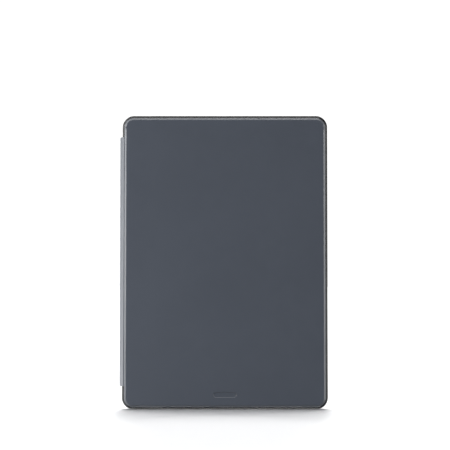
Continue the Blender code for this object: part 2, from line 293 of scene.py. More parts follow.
def round_grid(outline, xs, zs):
    """A grid of (x, z) points that fills an outline, as [z line][x line]."""
    width, height, radius = outline
    inner_x, inner_z = width / 2 - radius, height / 2 - radius
    local_x, local_z = np.meshgrid(xs, zs)
    local_x, local_z = local_x - MID_X, local_z - MID_Z
    part_x = np.clip((np.abs(local_x) - inner_x) / radius, 0, 1)
    part_z = np.clip((np.abs(local_z) - inner_z) / radius, 0, 1)
    corner = (part_x > 0) & (part_z > 0)
    bent_x = np.sign(local_x) * (inner_x + radius * part_x * np.sqrt(1 - part_z**2 / 2))
    bent_z = np.sign(local_z) * (inner_z + radius * part_z * np.sqrt(1 - part_x**2 / 2))
    x, z = np.where(corner, bent_x, local_x), np.where(corner, bent_z, local_z)
    return np.stack([x + MID_X, z + MID_Z], -1)


def edge_loop(rows, columns):
    """Row and column indices round a grid's edge, anticlockwise from the lower left."""
    loop = [(0, i) for i in range(columns)]
    loop += [(j, columns - 1) for j in range(1, rows)]
    loop += [(rows - 1, i) for i in range(columns - 2, -1, -1)]
    loop += [(j, 0) for j in range(rows - 2, 0, -1)]
    return loop


def outward(point, outline):
    """The direction straight out of an outline at a point on its edge."""
    width, height, radius = outline
    inner_x, inner_z = width / 2 - radius, height / 2 - radius
    x, z = point[0] - MID_X, point[1] - MID_Z
    if abs(x) > inner_x + 1e-6 and abs(z) > inner_z + 1e-6:
        out_x, out_z = x - math.copysign(inner_x, x), z - math.copysign(inner_z, z)
        length = math.hypot(out_x, out_z)
        return out_x / length, out_z / length
    if width / 2 - abs(x) < height / 2 - abs(z):
        return math.copysign(1, x), 0.0
    return 0.0, math.copysign(1, z)


def edge_distance(outline, x, z):
    """How far a point is inside the nearest straight side."""
    return min(outline[0] / 2 - abs(x - MID_X), outline[1] / 2 - abs(z - MID_Z))


def panel(outline, xs, zs, front, profile, back):
    """A sheet with a grid on both sides. front(x, z) and back(x, z) give their depths.

    profile holds (outward offset from the front grid's edge, depth, wear), front to back.
    """
    mesh = Mesh()
    grid = round_grid(outline, xs, zs)
    rows, columns = grid.shape[:2]
    ids = np.array([mesh.add([(x, front(x, z), z) for x, z in row]) for row in grid])
    for j in range(rows - 1):
        for i in range(columns - 1):
            mesh.face((ids[j, i], ids[j, i + 1], ids[j + 1, i + 1], ids[j + 1, i]))
    loop = edge_loop(rows, columns)
    edge = [(grid[j, i], outward(grid[j, i], outline)) for j, i in loop]
    previous = [ids[j, i] for j, i in loop]
    for offset, depth, wear in profile:
        points = [(p[0] + n[0] * offset, depth, p[1] + n[1] * offset) for p, n in edge]
        ring = mesh.add(points, wear)
        mesh.bridge(previous, ring)
        previous = ring
    ids = np.zeros((rows, columns), int)
    for (j, i), index in zip(loop, previous):
        ids[j, i] = index
    for j in range(1, rows - 1):
        for i in range(1, columns - 1):
            x, z = grid[j, i]
            ids[j, i] = mesh.add([(x, back(x, z), z)])[0]
    for j in range(rows - 1):
        for i in range(columns - 1):
            mesh.face((ids[j, i], ids[j + 1, i], ids[j + 1, i + 1], ids[j, i + 1]))
    return mesh


def smooth_path(points):
    """Cuts the corners of an open run of points three times, keeping its ends."""
    for _ in range(3):
        out = [points[0]]
        for a, b in zip(points, points[1:]):
            out.append((a[0] * 0.75 + b[0] * 0.25, a[1] * 0.75 + b[1] * 0.25))
            out.append((a[0] * 0.25 + b[0] * 0.75, a[1] * 0.25 + b[1] * 0.75))
        out.append(points[-1])
        points = out
    return points


def resample(points, step):
    points = np.array(points, float)
    lengths = np.hypot(*(np.diff(points, axis=0).T))
    run = np.concatenate([[0], np.cumsum(lengths)])
    count = max(2, int(round(run[-1] / step)))
    at = np.linspace(0, run[-1], count + 1)
    return np.stack([np.interp(at, run, points[:, i]) for i in (0, 1)], -1)


def path_normals(path):
    """Unit normals on the right of the direction of travel."""
    along = np.gradient(path, axis=0)
    along /= np.hypot(along[:, 0], along[:, 1])[:, None]
    return np.stack([along[:, 1], -along[:, 0]], -1)


def strip(path, thick, low, high, rows, edge=0.22, inner_slot=0):
    """A bent sheet with rounded cut ends, from low to high in z.

    path is the (x, depth) run of its outer face, with the inside on its right.
    """
    mesh = Mesh()
    count = len(path)
    half = path_normals(path) * thick / 2
    middle = path + half
    end = []  # (z, share of the full thickness) over the rounded lower end
    for angle in (90, 60, 35, 15, 0):
        z = low + edge * (1 - math.cos(math.radians(90 - angle)))
        end.append((z, max(math.cos(math.radians(angle)), 0.3)))
    body = [(z, 1.0) for z in np.linspace(low + edge, high - edge, rows + 1)[1:-1]]
    loops = []
    for z, share in end + body + [(high - (z - low), share) for z, share in reversed(end)]:
        wear = 1.0 if share < 0.9 else 0.0
        outer = mesh.add([(p[0], p[1], z) for p in middle - half * share], wear)
        inner = mesh.add([(p[0], p[1], z) for p in middle + half * share], wear)
        loops.append(outer + inner[::-1])
    for before, after in zip(loops, loops[1:]):
        for i in range(2 * count):
            j = (i + 1) % (2 * count)
            slot = inner_slot if count <= i < 2 * count - 1 else 0
            mesh.face((before[i], before[j], after[j], after[i]), slot)
    for loop in (loops[0], loops[-1]):
        outer, inner = loop[:count], loop[count:][::-1]
        for i in range(count - 1):
            mesh.face((outer[i], outer[i + 1], inner[i + 1], inner[i]))
    return mesh


def smoothstep(t):
    t = min(max(t, 0.0), 1.0)
    return t * t * (3 - 2 * t)


# ----------------------------------------------------------------------------------------------
# Materials
# ----------------------------------------------------------------------------------------------
def srgb(*channels):
    """A linear colour from 0-255 channels."""
    out = []
    for c in channels:
        c /= 255.0
        out.append(c / 12.92 if c <= 0.04045 else ((c + 0.055) / 1.055) ** 2.4)
    return (*out, 1.0)


def shade(colour, by):
    return (colour[0] * by, colour[1] * by, colour[2] * by, 1.0)


def plug(socket, value):
    """Links another node's output to a socket, or sets the socket's value."""
    if isinstance(value, bpy.types.NodeSocket):
        socket.id_data.links.new(value, socket)
    else:
        socket.default_value = value


def add_node(tree, kind, inputs=None, **settings):
    node = tree.nodes.new(kind)
    for name, value in settings.items():
        setattr(node, name, value)
    for key, value in (inputs or {}).items():
        plug(node.inputs[key], value)
    return node


class Material:
    """A Principled material, with short ways to add nodes that return their outputs."""

    def __init__(self, name):
        self.data = bpy.data.materials.new(name)
        self.data.use_nodes = True
        self.position = self.node("ShaderNodeNewGeometry").outputs["Position"]

    def node(self, kind, inputs=None, **settings):
        return add_node(self.data.node_tree, kind, inputs, **settings)

    def scaled(self, x, y, z):
        inputs = {"Scale": (x, y, z), "Vector": self.position}
        return self.node("ShaderNodeMapping", inputs).outputs["Vector"]

    def noise(self, scale, detail=3.0, rough=0.5, at=None, distortion=0.0):
        inputs = {
            "Scale": scale,
            "Detail": detail,
            "Roughness": rough,
            "Distortion": distortion,
            "Vector": at or self.position,
        }
        return self.node("ShaderNodeTexNoise", inputs).outputs["Fac"]

    def math(self, operation, a, b, clamp=False):
        inputs = {0: a, 1: b}
        node = self.node("ShaderNodeMath", inputs, operation=operation, use_clamp=clamp)
        return node.outputs[0]

    def times(self, value, by, clamp=False):
        return self.math("MULTIPLY", value, by, clamp)

    def plus(self, a, b):
        return self.math("ADD", a, b)

    def minus(self, a, b):
        return self.math("SUBTRACT", a, b)

    def linear(self, value, gain, base):
        return self.plus(self.times(value, gain), base)

    def ramp(self, value, low, high, to_high=1.0):
        """A smooth rise from 0 to to_high as the value goes from low to high."""
        inputs = {"From Min": low, "From Max": high, "To Min": 0.0, "To Max": to_high}
        inputs["Value"] = value
        node = self.node("ShaderNodeMapRange", inputs, interpolation_type="SMOOTHSTEP")
        return node.outputs["Result"]

    def mix(self, amount, a, b):
        inputs = {"Factor": amount, 6: a, 7: b}
        return self.node("ShaderNodeMix", inputs, data_type="RGBA").outputs[2]

    def vary(self, pattern, colour, dark, pale, low=0.3, high=0.7):
        """A colour that goes from a darker to a paler shade with a pattern."""
        return self.mix(self.ramp(pattern, low, high), shade(colour, dark), shade(colour, pale))

    def attribute(self, name):
        return self.node("ShaderNodeAttribute", attribute_name=name).outputs["Fac"]

    def bump(self, height, distance, strength):
        inputs = {"Strength": strength, "Distance": distance, "Height": height}
        return self.node("ShaderNodeBump", inputs).outputs["Normal"]

    def finish(self, **inputs):
        """Sets the shader's inputs, written with _ for a space."""
        shader = self.data.node_tree.nodes["Principled BSDF"]
        for name, value in inputs.items():
            plug(shader.inputs[name.replace("_", " ")], value)
        return self.data


def covering(name, colour, shift=0.0):
    """Smooth coated covering: fine pebbled grain, slight tone drift, paler rubbed edges, and a
    painted pale highlight where it turns away from the front.
    """
    mat = Material(name)
    offset = (shift, shift * 0.7, shift * 1.3)
    inputs = {0: mat.position, 1: offset}
    at = mat.node("ShaderNodeVectorMath", inputs, operation="ADD").outputs[0]
    drift = mat.noise(scale=14.0, detail=2.0, at=at)
    cloud = mat.noise(scale=95.0, rough=0.6, at=at)
    inputs = {"Scale": 1500.0, "Randomness": 1.0, "Smoothness": 0.6, "Vector": at}
    voronoi = mat.node("ShaderNodeTexVoronoi", inputs, feature="SMOOTH_F1")
    pebble = voronoi.outputs["Distance"]
    fine = mat.noise(scale=5200.0, detail=2.0, rough=0.6, at=at)
    tone = mat.plus(mat.times(drift, by=0.6), mat.times(cloud, by=0.4))
    base = mat.vary(tone, colour, dark=0.965, pale=1.035)
    grain = mat.ramp(pebble, low=0.1, high=0.7)
    base = mat.mix(mat.times(grain, by=0.10), base, shade(colour, by=0.86))
    patches = mat.ramp(mat.noise(scale=160.0, rough=0.6, at=at), low=0.35, high=0.75)
    rub = mat.times(mat.attribute("wear"), by=patches, clamp=True)
    base = mat.mix(mat.times(rub, by=0.22), base, shade(colour, by=1.5))
    # turned edges are smoother and shinier, and a painted highlight mixes their colour toward a
    # pale neutral grey
    turn = mat.attribute("turn")
    base = mat.mix(mat.times(turn, by=0.45), base, srgb(104, 106, 110))
    rough = mat.minus(mat.linear(cloud, gain=0.10, base=0.47), mat.times(turn, by=0.12))
    height = mat.plus(mat.times(mat.minus(1.0, pebble), by=0.7), mat.times(fine, by=0.3))
    return mat.finish(
        Base_Color=base,
        Roughness=rough,
        Specular_IOR_Level=mat.linear(turn, gain=0.14, base=0.42),
        Normal=mat.bump(height, distance=0.00003, strength=0.35),
        Sheen_Weight=0.04,
        Sheen_Roughness=0.4,
    )


def felt(name, colour):
    """Short-napped felt: crossed fibres and soft mottling."""
    mat = Material(name)
    upright, level = (
        mat.noise(scale=1.0, rough=0.65, at=mat.scaled(*stretch), distortion=0.6)
        for stretch in ((2600, 900, 420), (420, 900, 2600))
    )
    mottle = mat.noise(scale=210.0, detail=4.0, rough=0.65)
    fibre = mat.math("MAXIMUM", upright, level)
    base = mat.vary(fibre, colour, dark=0.72, pale=1.28, low=0.42, high=0.72)
    patches = mat.ramp(mottle, low=0.3, high=0.7, to_high=0.35)
    height = mat.plus(fibre, mat.times(mottle, by=0.4))
    return mat.finish(
        Base_Color=mat.mix(patches, base, shade(colour, by=1.2)),
        Roughness=0.96,
        Specular_IOR_Level=0.15,
        Normal=mat.bump(height, distance=0.00012, strength=0.55),
        Sheen_Weight=0.35,
        Sheen_Roughness=0.35,
    )


def moulded(name, colour, rough, grain_scale, grain_height, specular):
    """Moulded polymer with an eroded texture and slightly polished, paler edges."""
    mat = Material(name)
    grain = mat.noise(grain_scale, detail=4.0, rough=0.62)
    mottle = mat.noise(scale=60.0, rough=0.55)
    base = mat.vary(mottle, colour, dark=0.95, pale=1.05)
    specks = mat.ramp(grain, low=0.35, high=0.75, to_high=0.22)
    base = mat.mix(specks, base, shade(colour, by=1.25))
    wear = mat.attribute("wear")
    base = mat.mix(mat.times(wear, by=0.18), base, shade(colour, by=1.45))
    dull = mat.linear(mottle, gain=0.12, base=rough - 0.06)
    return mat.finish(
        Base_Color=base,
        Roughness=mat.minus(dull, mat.times(wear, by=0.08)),
        Specular_IOR_Level=specular,
        Normal=mat.bump(grain, distance=grain_height, strength=0.5),
    )


def pressed_board():
    """Stiff board with level fibres and dark specks."""
    mat = Material("pressed_board")
    colour = srgb(158, 152, 141)
    at = mat.scaled(300, 300, 1500)
    fibre = mat.noise(scale=1.0, detail=4.0, rough=0.7, at=at, distortion=0.4)
    speck = mat.noise(scale=900.0, detail=2.0)
    base = mat.vary(fibre, colour, dark=0.8, pale=1.1, low=0.35)
    specks = mat.ramp(speck, low=0.55, high=0.75, to_high=0.4)
    return mat.finish(
        Base_Color=mat.mix(specks, base, shade(colour, by=0.6)),
        Roughness=0.88,
        Normal=mat.bump(fibre, distance=0.00008, strength=0.5),
    )


def nickel_plate():
    """Plated metal with fine level lines."""
    mat = Material("nickel_plate")
    line = mat.noise(scale=1.0, rough=0.6, at=mat.scaled(400, 400, 9000))
    return mat.finish(
        Base_Color=mat.vary(line, srgb(186, 186, 184), dark=0.9, pale=1.05),
        Metallic=1.0,
        Roughness=mat.linear(line, gain=0.2, base=0.18),
    )


def bonding_tape():
    """Pale, unevenly glossy tape."""
    mat = Material("bonding_tape")
    blotch = mat.noise(scale=420.0, rough=0.6)
    return mat.finish(
        Base_Color=mat.vary(blotch, srgb(206, 199, 182), dark=0.9, pale=1.05),
        Roughness=mat.linear(blotch, gain=0.3, base=0.25),
        Normal=mat.bump(blotch, distance=0.00005, strength=0.4),
    )


COVER_COLOUR = srgb(79, 85, 96)
SOFT_GRAIN = {"grain_scale": 2600.0, "grain_height": 0.00003}
HARD_GRAIN = {"grain_scale": 1700.0, "grain_height": 0.00006}
COVER = covering("cover_covering", COVER_COLOUR)
SPINE = covering("spine_covering", COVER_COLOUR, shift=0.37)
FELT = felt("felt_lining", srgb(74, 77, 84))
TRAY_FELT = felt("tray_felt", srgb(66, 69, 76))
SOFT = moulded("soft_bumper", srgb(31, 32, 34), rough=0.36, specular=0.30, **SOFT_GRAIN)
CAP = moulded("soft_cap", srgb(34, 35, 37), rough=0.34, specular=0.32, **SOFT_GRAIN)
HARD = moulded("hard_back", srgb(60, 63, 68), rough=0.50, specular=0.40, **HARD_GRAIN)
BOARD = pressed_board()
MAGNET = nickel_plate()
TAPE = bonding_tape()

# CAD pieces that keep their shape
for nodes, material in (
    (("cover_board", "spine_board"), BOARD),
    (MAGNETS, MAGNET),
    (("anchor_tape",), TAPE),
):
    for node in nodes:
        slots = frame["nodes"][node].data.materials
        slots.clear()
        slots.append(material)


# ----------------------------------------------------------------------------------------------
# Front cover covering: flat face, bevel, turned edge and a pocket for the board, with a plain
# pressed oval near the foot
# ----------------------------------------------------------------------------------------------
MARK_Z, MARK_W, MARK_H, MARK_D = 13.0, 20.0, 4.6, 0.30
MARK_OUT, MARK_IN = 11.2, 7.2  # fine grid lines cross the oval's ends between these
MARK_REACH_Z = 3.0  # and run this far above and below its middle
CROWN_D, CROWN_REACH = 0.05, 7.0  # the face falls this much, this near its edge
BEVEL_W, BEVEL_D = 1.6, 1.2
ROUND_W, ROUND_D = 0.34, 0.10  # rounding from the face onto the bevel
SIDE = BEVEL_W + 0.25  # from the flat face's edge out to the side
face = (COVER_W - 2 * SIDE, COVER_H - 2 * SIDE, COVER_R - SIDE)


def face_depth(x, z):
    crown = min(max(1 - edge_distance(face, x, z) / CROWN_REACH, 0.0), 1.0)
    from_core = max(abs(x - MID_X) - (MARK_W - MARK_H) / 2, 0.0)
    outside = math.hypot(from_core, z - MARK_Z) - MARK_H / 2
    return CROWN_D * crown * crown + MARK_D * smoothstep((0.10 - outside) / 0.42)


left, right = MID_X - face[0] / 2, MID_X + face[0] / 2
low, high = MID_Z - face[1] / 2, MID_Z + face[1] / 2
x_marks = (
    left, left + face[2], MID_X - MARK_OUT, MID_X - MARK_IN,
    MID_X + MARK_IN, MID_X + MARK_OUT, right - face[2], right,
)
z_marks = (
    low, low + face[2], MARK_Z - MARK_REACH_Z, MARK_Z + MARK_REACH_Z, high - face[2], high,
)
face_xs = merged(spans(x_marks, (0.7, 3.2, 0.16, 0.6, 0.16, 3.2, 0.7)))
face_zs = merged(spans(z_marks, (0.7, 0.5, 0.14, 3.2, 0.7)))
bevel_run = BEVEL_W - 0.02 - ROUND_W
bevel_drop = BEVEL_D - 0.22 - ROUND_D - CROWN_D
# outward offset, depth, wear
profile = [
    (ROUND_W * t, CROWN_D + ROUND_D * t * t, 0.9 if t > 0.3 else 0.3)
    for t in (0.25, 0.5, 0.75, 1.0)
]
profile += [
    (ROUND_W + bevel_run * t, CROWN_D + ROUND_D + bevel_drop * t, 0.25) for t in (0.35, 0.7, 1.0)
]
profile += [
    (SIDE - 0.14, BEVEL_D - 0.12, 0.8),
    (SIDE - 0.04, BEVEL_D + 0.02, 0.9),
    (SIDE, BEVEL_D + 0.2, 0.5),
    (SIDE, COVER_T - 0.42, 0.2),
    (SIDE - 0.04, COVER_T - 0.18, 0.6),
    (SIDE - 0.16, COVER_T - 0.05, 0.8),
    (SIDE - 0.32, COVER_T, 0.4),
    (SIDE - 0.5, COVER_T - 0.02, 0.1),
    (SIDE - 0.6, COVER_T - 0.12, 0.0),
    (SIDE - 0.6, 1.4, 0.0),
    (SIDE - 2.0, 0.5, 0.0),
]
mesh = panel(face, face_xs, face_zs, face_depth, profile, lambda x, z: 0.5)
cover = mesh.build("cover_covering", [COVER], 35)
fit(cover, "cover", "cover_skin")


# ----------------------------------------------------------------------------------------------
# Felt on the inside of the cover, with a pressed border and slight rises over the magnets
# ----------------------------------------------------------------------------------------------
FELT_D = COVER_T - 0.05
BORDER_IN, BORDER_HALF, BORDER_D = 3.4, 0.5, 0.16  # groove: in from the edge, half width, depth
RISE_D = 0.05
lining_outline = (COVER_W - 1.5, COVER_H - 1.5, COVER_R - 0.75)
magnet_boxes = [mm_box(node) for node in MAGNETS]


def felt_back(x, z):
    inside = edge_distance(lining_outline, x, z)
    depth = FELT_D - BORDER_D * math.exp(-(((inside - BORDER_IN) / BORDER_HALF) ** 2))
    for box_lo, box_hi in magnet_boxes:
        outside = max(box_lo[0] - x, x - box_hi[0], box_lo[2] - z, z - box_hi[2])
        depth += RISE_D * smoothstep((0.5 - outside) / 1.2)
    return depth


left, right = MID_X - lining_outline[0] / 2, MID_X + lining_outline[0] / 2
low, high = MID_Z - lining_outline[1] / 2, MID_Z + lining_outline[1] / 2
felt_xs = joined(spans((left, left + 8, right - 24, right), (0.45, 4.0, 0.5)))
felt_zs = joined(spans((low, low + 8, high - 8, high), (0.45, 1.6, 0.45)))
profile = [
    (0.02, 1.85, 0.3),
    (0.02, COVER_T - 0.2, 0.6),
    (-0.06, COVER_T - 0.08, 0.8),
    (-0.2, FELT_D, 0.3),
]
mesh = panel(lining_outline, felt_xs, felt_zs, lambda x, z: 1.8, profile, felt_back)
fit(mesh.build("cover_felt", [FELT], 50), "cover", "cover_lining")


# ----------------------------------------------------------------------------------------------
# Spine: one covering in two runs that meet behind the spine's flat side. The front run crosses
# the front fold, and the back run crosses the back fold. Paths are x, depth.
# ----------------------------------------------------------------------------------------------
SPINE_T = 0.5
PATH_STEP = 0.16
MEET_D = 8.7


def spine_covering(name, path):
    mesh = strip(path, SPINE_T, SPINE_LOW, SPINE_TOP, rows=70, inner_slot=1)
    return mesh.build(name, [SPINE, FELT], 40)


front_path = [
    (COVER_LEFT - 0.04, 1.76),
    (COVER_LEFT - 0.26, 1.84),
    (COVER_LEFT - 0.55, 1.72),
    (COVER_LEFT - 1.15, 2.12),
    (COVER_LEFT - 2.05, 3.02),
    (COVER_LEFT - 2.95, 3.95),
    (LEFT - 1.45, 4.62),
    (LEFT - 1.9, 5.55),
    (SPINE_X, 6.8),
    (SPINE_X, 7.8),
    (SPINE_X, MEET_D),
]
front_strip = spine_covering("spine_covering_front", resample(smooth_path(front_path), PATH_STEP))
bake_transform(front_strip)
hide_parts("spine_skin")

back_path = [
    (SPINE_X, MEET_D),
    (SPINE_X, 10.2),
    (SPINE_X + 0.12, 11.3),
    (LEFT - 1.75, 12.35),
    (LEFT - 1.25, 13.1),
    (LEFT - 0.75, 13.62),
    (LEFT - 0.3, 13.88),
    (LEFT + 0.4, BACK_D),
    (LEFT + 1.5, BACK_D),
    (LEFT + 3.0, BACK_D),
]
flat_run = np.array([(x, BACK_D) for x in np.linspace(LEFT + 3.0, ANCHOR_RIGHT, 14)[1:]])
back_run = np.concatenate([resample(smooth_path(back_path), PATH_STEP), flat_run])
back_strip = spine_covering("spine_covering_back", back_run)
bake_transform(back_strip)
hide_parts("anchor_skin")

# Lining over the stiff strip, inside the spine
INNER_X = SPINE_X + 1.25
lining_path = [
    (COVER_LEFT - 0.95, 2.85),
    (COVER_LEFT - 2.1, 4.0),
    (INNER_X - 0.02, 5.1),
    (INNER_X, 6.2),
    (INNER_X, 9.0),
    (INNER_X, 11.2),
    (INNER_X + 0.18, 12.2),
]
lining_run = resample(smooth_path(lining_path), 0.3)
mesh = strip(lining_run, 0.32, SPINE_LOW + 0.4, SPINE_TOP - 0.4, rows=40, edge=0.15)
fit(mesh.build("spine_felt", [FELT], 50), "spine", "spine_lining")


# ----------------------------------------------------------------------------------------------
# Bumper frame
# ----------------------------------------------------------------------------------------------
RIM_R, BACK_R = 3.2, 2.7  # rounding of the front and back edges
TABLET_W, TABLET_H = 174.1, 250.6
CAVITY_R = 8.2
CAVITY = (TABLET_W + 0.6, TABLET_H + 0.6, CAVITY_R)
LIP = (TABLET_W - 2.6, TABLET_H - 2.6, CAVITY_R - 1.6)
CAVITY_D = LIP_D + 1.0
FOOT, FOOT_D = 3.6, BACK_D - 1.05  # the step round the hard back: in from the side, and depth


def shell_ring(inset, depth, wear=0.0):
    return sized(SHELL, -2 * inset, -inset, depth, wear)


rings = []
for i in range(13):
    a = math.pi / 2 * i / 12
    wear = 0.5 if 3 < i < 9 else 0.15
    rings.append(
        shell_ring(RIM_R * (1 - math.sin(a)), LIP_D + RIM_R * (1 - math.cos(a)), wear)
    )
for i in range(11):
    a = math.pi / 2 * i / 10
    wear = 0.4 if 3 < i < 8 else 0.1
    rings.append(
        shell_ring(BACK_R * (1 - math.cos(a)), BACK_D - BACK_R * (1 - math.sin(a)), wear)
    )
rings += [
    shell_ring(FOOT - 0.2, BACK_D, 0.1),
    shell_ring(FOOT - 0.06, BACK_D - 0.05, 0.5),
    shell_ring(FOOT, BACK_D - 0.2, 0.3),
    shell_ring(FOOT, FOOT_D),
    sized(CAVITY, 0, 0, FOOT_D),
    sized(CAVITY, 0, 0, CAVITY_D + 0.7),
    sized(CAVITY, -0.35, -0.17, CAVITY_D + 0.25),
    sized(CAVITY, -1.2, -0.6, CAVITY_D),
    sized(LIP, 0.3, 0.15, CAVITY_D),
    sized(LIP, 0.05, 0.02, CAVITY_D - 0.12, 0.4),
    sized(LIP, 0, 0, CAVITY_D - 0.3, 0.5),
    sized(LIP, 0, 0, LIP_D + 0.35, 0.5),
    sized(LIP, 0.08, 0.04, LIP_D + 0.15, 0.4),
    sized(LIP, 0.24, 0.12, LIP_D + 0.04, 0.3),
]
bumper = ring_loft(rings, wrap=True).build("bumper_frame_soft", [SOFT], 42)


def cut(ob, cutters, sharp=None):
    """Takes the cutters out of a piece, then removes them."""
    for cutter in cutters:
        modifier = ob.modifiers.new("cut", "BOOLEAN")
        modifier.operation = "DIFFERENCE"
        modifier.solver = "EXACT"
        modifier.object = cutter
    graph = bpy.context.evaluated_depsgraph_get()
    bpy.context.view_layer.update()
    data = bpy.data.meshes.new_from_object(ob.evaluated_get(graph), depsgraph=graph)
    ob.modifiers.clear()
    data.name = ob.data.name
    ob.data = data
    for cutter in cutters:
        bpy.data.objects.remove(cutter, do_unlink=True)
    if sharp:
        smooth(data, sharp)


def mouth_cutter(name, axis, face_at, inward, mouth, *shape):
    """A pill through a face. mouth holds (distance inward from the face, inset)."""
    stations = [(face_at + inward * distance, inset, 0) for distance, inset in mouth]
    return pill(axis, *shape[:4], stations, *shape[4:]).build(name, [SOFT])


def recess_cutter():
    """A box that clears the spine's covering where it lies on the back."""
    xs = (LEFT - 4.0, ANCHOR_RIGHT + 0.35)
    depths = (BACK_D - 0.75, BACK_D + 2.0)
    zs = (SPINE_LOW - 0.35, SPINE_TOP + 0.35)
    mesh = Mesh()
    mesh.add([(x, depth, z) for x in xs for depth in depths for z in zs])
    for ids in (
        (0, 1, 3, 2), (4, 6, 7, 5), (0, 4, 5, 1), (2, 3, 7, 6), (0, 2, 6, 4), (1, 5, 7, 3)
    ):
        mesh.face(ids)
    return mesh.build("recess", [SOFT])


# Buttons, each in a slot with a rounded mouth
SLOT_MOUTH = ((4.5, 0.0), (0.32, 0.0), (0.16, -0.06), (0.02, -0.22), (-0.5, -0.74))
SLOT_GAP = 0.6  # over the button's length and width
cuts = []
for node, axis, across, along_axis, face_at in (
    ("volume_up_button", "x", 0, 2, RIGHT),
    ("volume_down_button", "x", 0, 2, RIGHT),
    ("power_button", "z", 2, 0, TOP),
):
    box_lo, box_hi = depth_box(node)
    along = (box_lo[along_axis] + box_hi[along_axis]) / 2
    depth = (box_lo[1] + box_hi[1]) / 2
    length, width = box_hi[along_axis] - box_lo[along_axis], box_hi[1] - box_lo[1]
    shape = (along, depth, length + SLOT_GAP, width + SLOT_GAP)
    cuts.append(mouth_cutter("slot_" + node, axis, face_at, -1, SLOT_MOUTH, *shape))
    base, top = box_lo[across], box_hi[across]
    stations = [  # position, inset, wear
        (base, 0.25, 0), (base + 0.12, 0.06, 0), (base + 0.3, 0.0, 0),
        (top - 0.62, 0.0, 0.1), (top - 0.42, 0.03, 0.3), (top - 0.24, 0.13, 0.6),
        (top - 0.11, 0.3, 0.8), (top - 0.03, 0.52, 0.6), (top, 0.85, 0.3),
        (top - 0.06, 1.15, 0.1),
    ]
    mesh = pill(axis, along, depth, length, width, stations, corner_steps=14)
    fit(mesh.build("cap_" + node, [CAP], 60), node.removesuffix("_button"), node)

# Openings in the foot and the top, in line with the volume buttons' depth
box_lo, box_hi = depth_box("volume_up_button")
OPENING_D = (box_lo[1] + box_hi[1]) / 2
OPENING_MOUTH = ((5.0, 0.0), (0.75, 0.0), (0.4, -0.08), (0.12, -0.3), (-0.6, -1.02))
for name, x, face_at, inward, length, width in (
    ("port", MID_X, 0.0, 1, 13.5, 6.4),
    ("speaker_left", MID_X - 42.0, 0.0, 1, 30.0, 3.2),
    ("speaker_right", MID_X + 42.0, 0.0, 1, 30.0, 3.2),
    ("jack", MID_X - 66.0, TOP, -1, 6.8, 6.6),
):
    shape = (x, OPENING_D, length, width, 16)
    cuts.append(mouth_cutter("opening_" + name, "z", face_at, inward, OPENING_MOUTH, *shape))
cuts.append(recess_cutter())
cut(bumper, cuts, sharp=42)
fit(bumper, "shell", "bumper_frame")


# ----------------------------------------------------------------------------------------------
# Hard back, camera ring and tray lining
# ----------------------------------------------------------------------------------------------
ring_lo, ring_hi = mm_box("camera_ring")
CAMERA_X, CAMERA_Z = (ring_lo[0] + ring_hi[0]) / 2, (ring_lo[2] + ring_hi[2]) / 2
RING_R = (ring_hi[0] - ring_lo[0]) / 2
HOLE_R = RING_R - 1.3


def turned(profile, wrap=False):
    """A (radius, depth, wear) profile turned about the camera ring's axis."""
    angles = [2 * math.pi * i / 72 for i in range(72)]
    loops = []
    for radius, depth, wear in profile:
        points = [
            (CAMERA_X + radius * math.cos(a), depth, CAMERA_Z + radius * math.sin(a))
            for a in angles
        ]
        loops.append((points, wear))
    return Mesh().loft(loops, wrap)


step = (SHELL[0] - 2 * (FOOT + 0.3), TOP - 2 * (FOOT + 0.3), SHELL_R - FOOT - 0.3)
inside = (CAVITY[0] - 0.6, CAVITY[1] - 0.6, CAVITY_R - 0.3)
rings = [
    sized(inside, -0.2, -0.1, PLATE_D),
    sized(inside, 0, 0, PLATE_D + 0.1),
    sized(inside, 0, 0, FOOT_D - 0.3),
    sized(step, 0, 0, FOOT_D - 0.3),
    sized(step, 0, 0, BACK_D - 0.3, 0.3),
    sized(step, -0.08, -0.04, BACK_D - 0.15, 0.6),
    sized(step, -0.24, -0.12, BACK_D - 0.04, 0.8),
    sized(step, -0.5, -0.25, BACK_D, 0.3),
    sized(step, -4.0, -1.0, BACK_D),
]
plate = ring_loft(rings).build("back_shell", [HARD], 35)
hole_profile = [
    (RING_R + 0.3, PLATE_D - 1, 0),
    (RING_R + 0.3, BACK_D - 0.28, 0),
    (RING_R + 0.36, BACK_D - 0.14, 0),
    (RING_R + 0.5, BACK_D - 0.02, 0),
    (RING_R + 1.5, BACK_D + 1, 0),
]
cut(plate, [turned(hole_profile).build("hole", [SOFT]), recess_cutter()], sharp=35)
fit(plate, "shell", "back_plate")

ring_profile = [
    (HOLE_R, PLATE_D + 0.12, 0),
    (RING_R - 0.05, PLATE_D + 0.12, 0),
    (RING_R, PLATE_D + 0.2, 0),
    (RING_R, BACK_D - 0.3, 0.1),
    (RING_R - 0.08, BACK_D - 0.13, 0.5),
    (RING_R - 0.25, BACK_D - 0.04, 0.8),
    (RING_R - 0.5, BACK_D - 0.02, 0.5),
    (RING_R - 0.75, BACK_D - 0.1, 0.3),
    (HOLE_R + 0.2, BACK_D - 0.45, 0.2),
    (HOLE_R + 0.05, BACK_D - 0.62, 0.2),
    (HOLE_R, BACK_D - 0.8, 0),
]
camera_ring = turned(ring_profile, wrap=True).build("camera_ring_soft", [SOFT], 50)
fit(camera_ring, "shell", "camera_ring")

